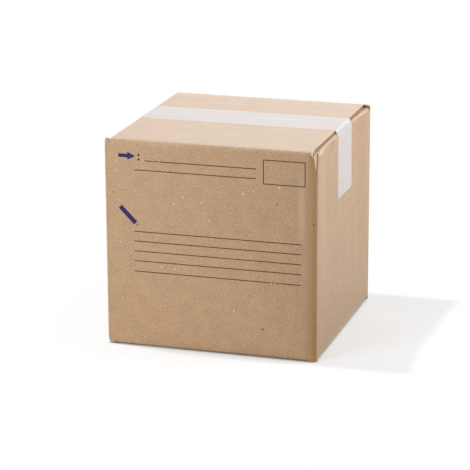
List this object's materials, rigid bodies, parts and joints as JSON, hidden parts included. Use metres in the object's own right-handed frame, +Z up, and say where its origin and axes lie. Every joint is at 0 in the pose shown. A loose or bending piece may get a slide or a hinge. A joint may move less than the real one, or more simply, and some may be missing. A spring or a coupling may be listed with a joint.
{
  "type": "shipping box",
  "caption": "Closed cube-shaped shipping carton of single-wall corrugated board, with rolled folds and slotted flaps, sealed along its seams with packing tape.",
  "frame": {"origin": "middle of the underside, on the surface that the box stands on", "axes": "+Z up, +X along the seam of the outer flaps and to the right seen from the printed front, +Y to the back"},
  "size_m": [0.2002, 0.2, 0.1952],
  "materials": {
    "kraft_board": "matt brown kraft liner",
    "packing_tape": "milky satin film"
  },
  "bodies": {
    "root": {"carton": "kraft_board", "top_tape": "packing_tape", "bottom_tape": "packing_tape"}
  },
  "joints": []
}
